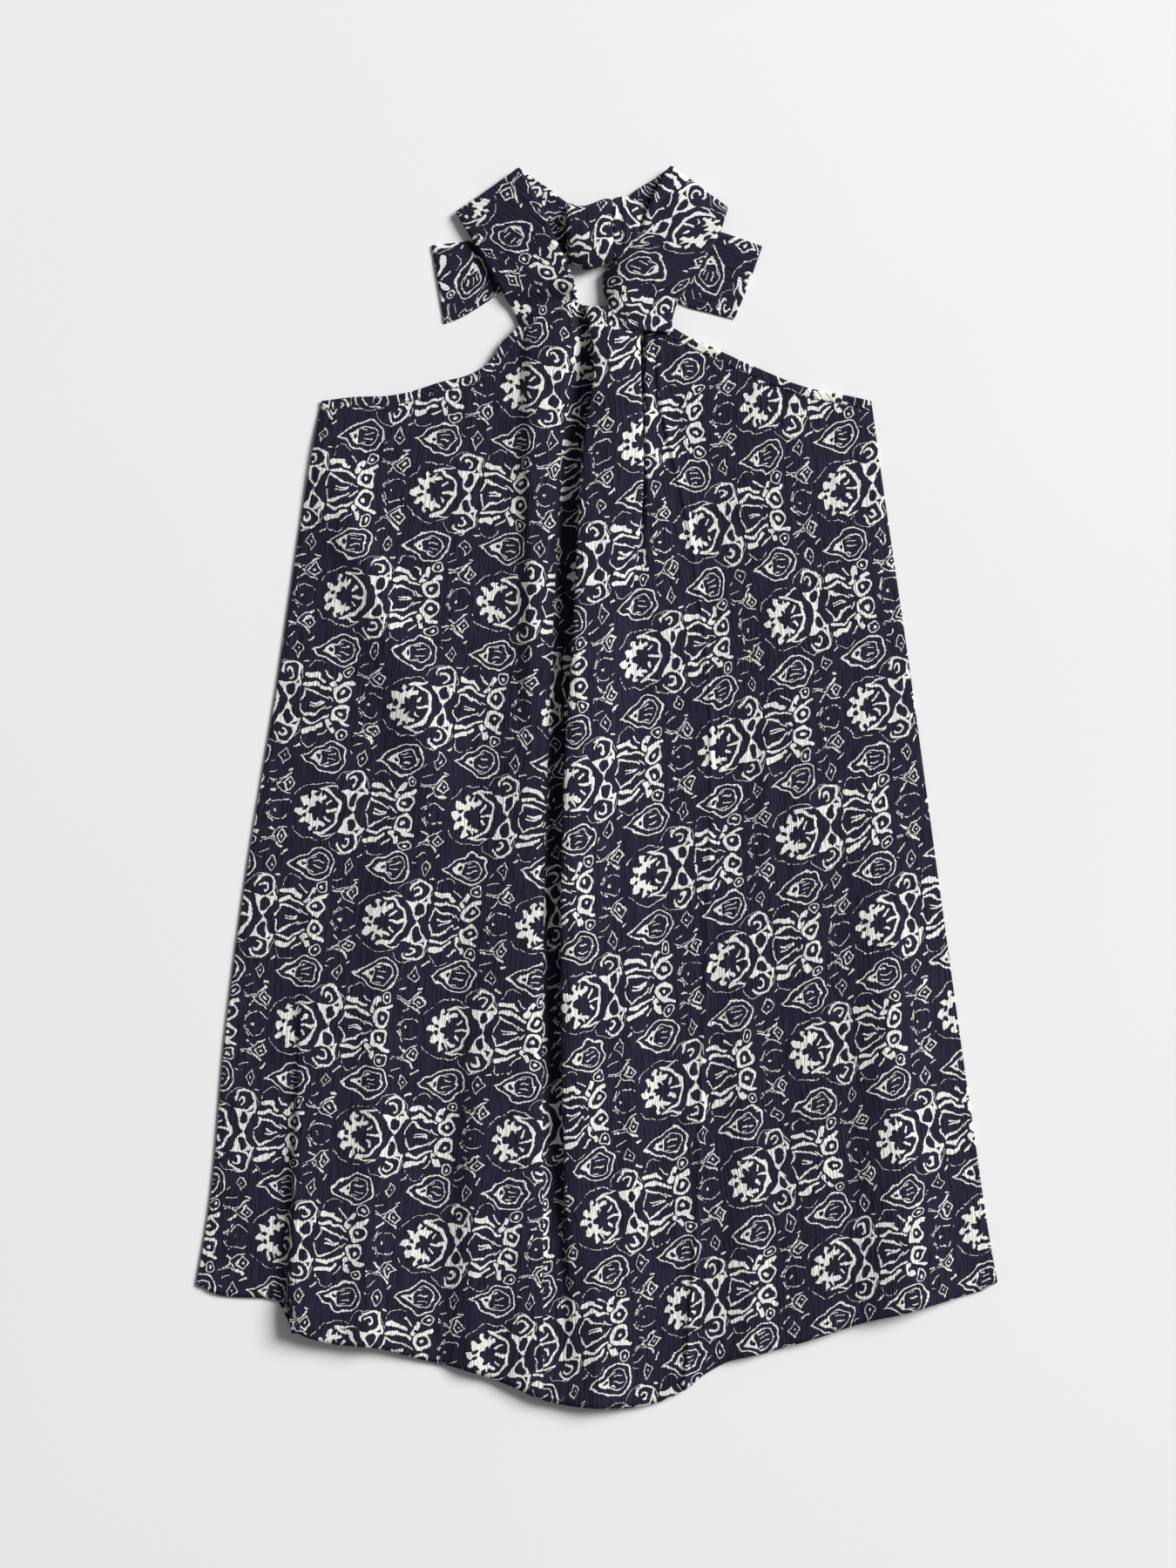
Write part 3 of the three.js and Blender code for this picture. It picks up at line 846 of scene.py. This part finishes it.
def tie_strip(name, rows, lines, material, shift, turn=0.0, thickness=1.5, seed=1, crumple=0.35):
    """A two-ply tie with seamed edges through rows of points. The seams stand a little proud."""
    columns = 30
    grid = loft(rows, lines, columns)
    normal = normals(grid)
    place = np.linspace(-1, 1, columns)
    run = runs(grid[:, columns // 2])
    u = np.broadcast_to(place * TIE_WIDTH / 2, grid.shape[:2])
    v = np.broadcast_to(run[:, None], grid.shape[:2])
    waves = crumple * uneven(u, 0.4 * v, size=11, seed=seed)
    waves = waves + 0.5 * crumple * uneven(u, 0.12 * v, size=3.5, seed=seed + 1)
    grid = grid + normal * (waves * (1 - place**4))[..., None]
    seam = np.exp(-(((np.abs(place) - 0.9) / 0.07) ** 2))
    half = thickness / 2 * (0.72 + 0.5 * seam) * np.sqrt(np.clip(1 - place**24, 0.02, 1))
    upper, under = grid + normal * half[:, None], grid - normal * half[:, None]
    tube = np.concatenate([upper, under[:, ::-1]], axis=1)
    return closed_tube(name, tube, material, shift, turn, span=TIE_WIDTH + 1)


def stitches(name, path, lift, pitch, length):
    """A run of straight stitches along a path, as one mesh of short spindles."""
    sides, radius = 5, 0.22
    run = runs(path)

    def point(at):
        return np.array([np.interp(at, run, path[:, axis]) for axis in range(3)])

    places, faces = [], []
    for start in np.arange(1.0, run[-1] - length - 1, pitch):
        a, b = point(start), point(start + length)
        ahead = (b - a) / np.linalg.norm(b - a)
        side = np.cross(ahead, (0, 0, 1))
        side /= np.linalg.norm(side)
        up = np.cross(side, ahead)
        base = len(places)
        for share, size, rise in ((0, 0.3, -0.5), (0.2, 1, 0), (0.8, 1, 0), (1, 0.3, -0.5)):
            for turn in range(sides):
                angle = turn * math.tau / sides
                spoke = (side * math.cos(angle) + up * math.sin(angle)) * radius * size
                places.append(a + (b - a) * share + up * (lift + rise * lift) + spoke)
        for first in (base, base + sides, base + 2 * sides):
            for turn in range(sides):
                one, two = first + turn, first + (turn + 1) % sides
                faces.append([one, two, two + sides, one + sides])
        start_cap = [base + turn for turn in range(sides)]
        faces += [start_cap[::-1], [corner + 3 * sides for corner in start_cap]]
    return make_object(name, places, faces, THREAD)


# ---------- camera ----------

CAMERA_HEIGHT = 2.5
PICTURE_HEIGHT = 1.224  # what the picture's long side takes in at the floor
camera_data = bpy.data.cameras.new("camera")
camera_data.lens = camera_data.sensor_width * CAMERA_HEIGHT / PICTURE_HEIGHT
camera = bpy.data.objects.new("camera", camera_data)
camera.location = (-0.0071, 0.002, CAMERA_HEIGHT)
bpy.context.scene.collection.objects.link(camera)
bpy.context.scene.camera = camera


# ---------- pieces of the dress ----------

CREPE = printed_crepe("print_crepe", block_print())
THREAD = thread_material()
SATIN = label_material()


def riding(piece, body, node):
    """A piece that moves with a body, and is shown in place of a node of the CAD."""
    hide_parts(node)
    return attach(piece, body)


def at_neck(piece, *nodes):
    """A piece baked into place, and shown in place of the given nodes of the CAD, if any."""
    if nodes:
        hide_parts(*nodes)
    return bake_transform(piece)


def make_front():
    """The front panel. The print of its two halves meets along the valley."""
    grid = front_grid()
    seam = sum(columns for columns, _, _ in FRONT_LINES[:VALLEY])
    left = cloth_marks(grid, seam, row_turn=-2.0, column_turn=-6.5, shift=(155.2, -57.6))
    right = cloth_marks(grid, seam, row_turn=15.0, column_turn=1.6, shift=(60.3, 84.4))
    front = sheet_object("front", grid, left, right, seam)
    at_neck(front, "front_panel")
    return front, grid


def make_back():
    """The back panel, flat under the front, and a little shorter."""
    lines = [
        track(8, *beside(LEFT_SIDE, 1.0, BACK_REST)),
        track(50, *beside(LEFT_SIDE, 30.0, BACK_REST)),
        track(8, *beside(RIGHT_SIDE, -30.0, BACK_REST)),
        track(0, *beside(RIGHT_SIDE, -1.0, BACK_REST)),
    ]
    grid = body_grid(lines, BACK_TOP, 90, softness=1)
    grid[..., 1] += 1.2 * smooth_step(grid[..., 1], -300, -480)
    marks = cloth_marks(grid, grid.shape[1] // 2, row_turn=3.0, column_turn=3.0, shift=(10.0, 50.0))
    back = sheet_object("back", grid, marks)
    riding(back, DRESS, "back_panel")
    return back, grid


def edge_and_inward(grid, end, first, last, shift=(0, 0, 0)):
    """Shifted points along the bottom (0) or top (-1) row of a panel, and unit steps inwards."""
    edge = grid[end, first:last]
    inner = grid[2 if end == 0 else -3, first:last]
    along_edge = np.gradient(edge, axis=0)
    inward = inner - edge
    along_edge /= np.linalg.norm(along_edge, axis=1, keepdims=True)
    inward -= along_edge * np.sum(inward * along_edge, axis=1, keepdims=True)
    inward /= np.linalg.norm(inward, axis=1, keepdims=True)
    return edge + np.array(shift), inward


BINDING_WIDTH, NECK_BAND_WIDTH, HEM_WIDTH, SEAM_WIDTH = 7.0, 12.0, 8.0, 9.0
NECK_ENDS = (-50.0, 60.0)  # the x where the armhole bindings meet the neck band


def make_bindings(grid, back_grid):
    """The armhole bindings with their stitches, the back's top binding and the neck band."""
    pieces = []
    x = grid[-1, :, 0]
    last_left, first_right = (int(np.argmin(np.abs(x - end))) for end in NECK_ENDS)
    for name, first, last, shift in (
        ("left_armhole_binding", 0, last_left, (30, 12)),
        ("right_armhole_binding", first_right, len(x), (70, 55)),
    ):
        edge, inward = edge_and_inward(grid, -1, first, last, (0, 0, 0.3))
        piece = edge_strip(
            name + "_cloth", edge, inward, BINDING_WIDTH, overhang=0.8, thickness=2.2,
            shift=shift, turn=35,
        )
        pieces.append(at_neck(piece, name))
        path = edge + inward * (BINDING_WIDTH - 1.0)
        run = stitches(name + "_stitches", path, lift=1.15, pitch=2.9, length=2.0)
        pieces.append(at_neck(run))
    edge, inward = edge_and_inward(back_grid, -1, 0, back_grid.shape[1], (0, -0.5, 0))
    top = edge_strip(
        "back_binding", edge, inward, BINDING_WIDTH, overhang=0.3, thickness=1.3, shift=(0, 0),
    )
    pieces.append(riding(top, DRESS, "back_top_binding"))
    edge, inward = edge_and_inward(grid, -1, last_left, first_right, (0, 0, -1.1))
    neck_band = edge_strip(
        "neck_band", edge, inward, NECK_BAND_WIDTH, overhang=0.0, thickness=1.2, shift=(40, 80),
    )
    pieces.append(at_neck(neck_band, "neckline_band"))
    return pieces


def make_hems(grid, back_grid):
    """Both turned-up hems, and the front hem's stitches."""
    pieces = []
    for name, panel, lift, shift in (
        ("front_hem", grid, -1.0, (0, 0)),
        ("back_hem", back_grid, -0.15, (50, 20)),
    ):
        edge, inward = edge_and_inward(panel, 0, 0, panel.shape[1], (0, 0, lift))
        piece = edge_strip(
            name + "_cloth", edge, inward, HEM_WIDTH, overhang=0.3, thickness=0.9, shift=shift,
        )
        pieces.append(riding(piece, DRESS, name))
    edge, inward = edge_and_inward(grid, 0, 3, grid.shape[1] - 3)
    path = edge + inward * (HEM_WIDTH - 0.6)
    run = stitches("front_hem_stitches", path, lift=0.12, pitch=3.0, length=2.1)
    pieces.append(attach(run, DRESS))
    return pieces


def make_side_seams(back_grid):
    """The seam allowances, pressed flat between the panels."""
    pieces = []
    for name, column, side in (("left_side_seam", 0, 1), ("right_side_seam", -1, -1)):
        edge = back_grid[:, column] + np.array([0, 0, 0.45])
        inward = np.tile([side, 0.0, 0.0], (len(edge), 1))
        piece = edge_strip(
            name + "_cloth", edge, inward, SEAM_WIDTH, overhang=0.2, thickness=0.8, shift=(15, 5),
        )
        pieces.append(riding(piece, DRESS, name))
    return pieces


def make_label():
    """The blank care label."""
    (x0, y0, z0), (x1, y1, z1) = np.array(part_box("care_label")) / MM
    rows = [[(x0, y, (z0 + z1) / 2), (x1, y, (z0 + z1) / 2)] for y in np.linspace(y1, y0, 6)]
    label = tie_strip("blank_label", rows, 30, SATIN, (0, 0), thickness=0.5, crumple=0.05)
    return riding(label, DRESS, "care_label")


# Rows of points across each tie. A strap goes from the neckline up, over its fold, and back under
# itself to the knot. A loose end goes from under the knot out to its slanted tip.
LEFT_STRAP = [
    [(-58, 350, 3.4), (-40, 352, 3.6), (-18, 356, 3.6)],
    [(-60.5, 360, 3.3), (-40, 366, 3.3), (-15, 370, 3.3)],
    [(-66, 371, 3.2), (-42, 378, 3.2), (-15, 380, 3.2)],
    [(-72, 382, 5.8), (-45, 389, 9.2), (-17, 390, 10.0)],
    [(-86, 406, 5.6), (-55, 408, 8.0), (-23.5, 407, 10.4)],
    [(-98, 427, 5.8), (-66, 430, 8.2), (-34, 430, 10.8)],
    [(-105, 438.5, 5.6), (-77, 447, 7.4), (-45, 455, 9.4)],
    [(-108.5, 444.5, 5.2), (-83, 456, 6.6), (-55, 473, 8.0)],
    [(-110, 447.5, 4.2), (-86, 463.5, 5.2), (-60.5, 482, 6.0)],
    [(-108, 446.5, 3.4), (-84.5, 462, 3.7), (-59, 480.5, 4.0)],
    [(-97, 438, 3.3), (-75, 455, 3.4), (-51, 475, 3.6)],
    [(-70, 421, 3.4), (-54, 441, 3.6), (-37, 465.5, 3.8)],
    [(-42, 408, 3.6), (-33, 430, 3.7), (-23, 455, 4.2)],
    [(-16, 407, 6.0), (-14, 429, 7.0), (-11, 450, 7.0)],
]
RIGHT_STRAP = [
    [(13, 354, 12.6), (36, 354, 13.4), (59, 353.5, 8.4)],
    [(11.5, 362, 12.8), (34, 363, 13.6), (58.5, 362, 9.0)],
    [(9.5, 375, 8.8), (14, 376, 12.0), (35, 376, 13.0), (62.5, 376, 9.2)],
    [(5, 386, 5.0), (9.5, 388, 8.4), (15, 390, 11.6), (40, 390, 12.2), (70.5, 389, 8.6)],
    [(5, 399, 5.0), (9, 401, 8.4), (15, 402, 11.6), (44, 401, 12.0), (77.5, 400, 8.0)],
    [(16, 411, 7.4), (19, 413, 10.0), (25, 415, 12.0), (54, 413, 11.6), (85.5, 413, 7.6)],
    [(33.5, 434, 12.0), (64, 433, 10.8), (96.4, 433, 6.8)],
    [(43, 458, 11.4), (70, 449, 9.4), (100.2, 445, 6.2)],
    [(51, 474, 9.4), (75, 461, 7.8), (101.3, 448, 5.6)],
    [(57.3, 483.5, 6.6), (79, 467.5, 5.6), (102, 450.6, 4.4)],
    [(55.5, 482, 4.2), (77, 465.5, 3.7), (101, 449, 3.4)],
    [(45, 474, 3.8), (67, 456, 3.5), (90, 437, 3.4)],
    [(32, 466, 4.6), (48, 443, 4.0), (62, 418, 3.4)],
    [(20, 457, 6.0), (28, 432, 5.8), (36, 408, 4.4)],
    [(8, 452, 7.0), (9, 430, 7.0), (11, 408, 6.0)],
]
LEFT_TIE_END = [
    [(-9, 416, 0.95), (-7, 434, 0.95)],
    [(-29, 410, 0.95), (-26, 434, 0.95)],
    [(-74, 385.5, 0.95), (-66, 408, 1.1), (-66, 433, 0.95)],
    [(-106, 366, 0.95), (-102, 394, 1.2), (-98.7, 426, 0.95)],
    [(-119.2, 361, 0.95), (-124, 391.5, 1.3), (-129.3, 422.3, 0.95)],
]
RIGHT_TIE_END = [
    [(18, 436, 0.95), (18, 418, 0.95)],
    [(40, 440, 0.95), (36, 404, 0.95)],
    [(72, 438, 0.95), (68, 408, 1.1), (64, 377, 0.95)],
    [(97.4, 432.5, 0.95), (94, 399, 1.2), (90, 369, 0.95)],
    [(128.9, 421.6, 0.95), (118.5, 392.5, 1.3), (107, 364.5, 0.95)],
]


def make_ties():
    """The two ties from the neckline to the knot, and their loose ends."""
    left = tie_strip("left_tie", LEFT_STRAP, 110, CREPE, (42.7, 113.1), 149, seed=21)
    right = tie_strip("right_tie", RIGHT_STRAP, 120, CREPE, (-24.8, 85.6), 205, seed=31)
    at_neck(left, "left_strap_base", "left_strap")
    at_neck(right, "right_strap_base", "right_strap")
    flat = {"thickness": 1.1, "crumple": 0.12}
    left_end = tie_strip("left_end", LEFT_TIE_END, 60, CREPE, (0, 53), 180, seed=41, **flat)
    right_end = tie_strip("right_end", RIGHT_TIE_END, 60, CREPE, (0, 51), 0, seed=51, **flat)
    riding(left_end, LEFT_TAIL, "left_tie_tail")
    riding(right_end, RIGHT_TAIL, "right_tie_tail")
    return left, right, left_end, right_end


def knot_ring(x, top, bottom, height):
    """Points round the knot at x: from behind its top edge, over the front, to behind its bottom."""
    core, under = 7.0, 5.5  # the height of the knot's middle, and how far its back lies below that
    middle, half = (top + bottom) / 2, (top - bottom) / 2
    points = []
    for angle in np.radians(np.linspace(-38, 218, 13)):
        rise = height - core if math.sin(angle) > 0 else under
        points.append((x, middle + half * math.cos(angle), core + rise * math.sin(angle)))
    return points


# The knot from left to right, each ring its x, its top and bottom y, and its height.
LEFT_TURN = [
    (-23.5, 449, 419, 11.5), (-22, 453, 410, 14.0), (-17, 452, 406, 15.6), (-10, 451.5, 402.5, 16.4),
    (-1, 454.5, 404, 16.8), (6, 457, 407, 16.0), (10.5, 456.5, 409, 14.8), (13, 453, 414, 12.0),
]
RIGHT_TURN = [
    (10, 455, 412, 11.5), (14, 457.5, 410, 13.6), (18, 458.5, 408, 12.6), (22, 459, 408, 13.6),
    (26, 457, 410, 12.0), (30, 455, 411, 12.4), (35, 450, 418, 9.5),
]


def make_knot():
    """The turns of the two ties, side by side. Both ride with the loop."""
    pieces = []
    wound = {"thickness": 1.3, "seed": 61, "crumple": 0.8}
    for name, turns, shift, node in (
        ("left_turn", LEFT_TURN, (58, 22), "left_knot_turn"),
        ("right_turn", RIGHT_TURN, (88, 62), "right_knot_turn"),
    ):
        rows = [knot_ring(*ring)[::-1] for ring in turns]
        piece = tie_strip(name, rows, 44, CREPE, shift, turn=90, **wound)
        pieces.append(riding(piece, LOOP, node))
    return pieces


front, front_places = make_front()
back, back_places = make_back()
bindings = make_bindings(front_places, back_places)
hems = make_hems(front_places, back_places)
side_seams = make_side_seams(back_places)
label = make_label()
left_tie, right_tie, left_end, right_end = make_ties()
left_turn, right_turn = make_knot()


# ---------- floor and light ----------

FLOOR_REACH = 25000.0  # millimetres from the middle to each side
SKY_STRENGTH = 0.19
LAMP_PLACE, LAMP_SIZE, LAMP_POWER = (14.2, 8.6, 11.2), 9.1, 6350.0  # metres, metres and watts


def make_stage():
    """The pale surface under the dress, soft light all round, and one large lamp."""
    square = ((-1, -1), (1, -1), (1, 1), (-1, 1))
    places = [(x * FLOOR_REACH, y * FLOOR_REACH, 0) for x, y in square]
    floor = make_object("floor", places, [[0, 1, 2, 3]], floor_material())
    world = bpy.data.worlds.new("studio")
    bpy.context.scene.world = world
    world.use_nodes = True
    background = world.node_tree.nodes["Background"]
    background.inputs["Color"].default_value = (1, 1, 1, 1)
    background.inputs["Strength"].default_value = SKY_STRENGTH
    bpy.context.scene.view_settings.view_transform = "Standard"
    light = bpy.data.lights.new("key", "AREA")
    light.size = LAMP_SIZE
    light.energy = LAMP_POWER
    lamp = bpy.data.objects.new("key", light)
    lamp.location = LAMP_PLACE
    lamp.rotation_euler = (-Vector(LAMP_PLACE)).to_track_quat("-Z", "Y").to_euler()
    bpy.context.scene.collection.objects.link(lamp)


make_stage()
